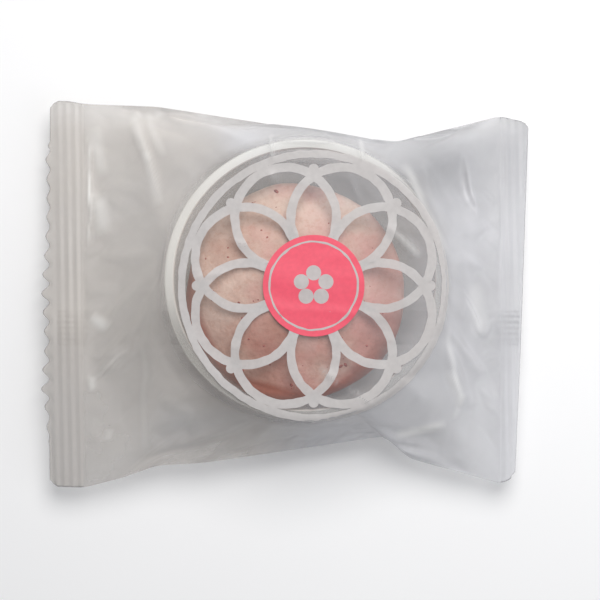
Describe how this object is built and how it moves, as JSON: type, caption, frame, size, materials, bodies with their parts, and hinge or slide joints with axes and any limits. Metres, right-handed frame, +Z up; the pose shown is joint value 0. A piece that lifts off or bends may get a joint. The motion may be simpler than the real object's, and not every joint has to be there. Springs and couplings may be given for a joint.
{
  "type": "wrapped marshmallow cookie sandwich",
  "caption": "Marshmallow cookie sandwich in a round tray, sealed in a clear flow pack with crimped end seals, one of them cut zigzag.",
  "frame": {"origin": "centre of the bounding box in plan, on the surface the pack lies on", "axes": "+X along the film tube, from the zigzag-cut end seal to the straight-cut one; +Y from the near side fold to the far one; +Z up, out of the printed side"},
  "size_m": [0.1126, 0.0897, 0.0228],
  "materials": {
    "film_and_contents": "satin"
  },
  "bodies": {
    "root": {"flow_pack": "film_and_contents"}
  },
  "joints": []
}
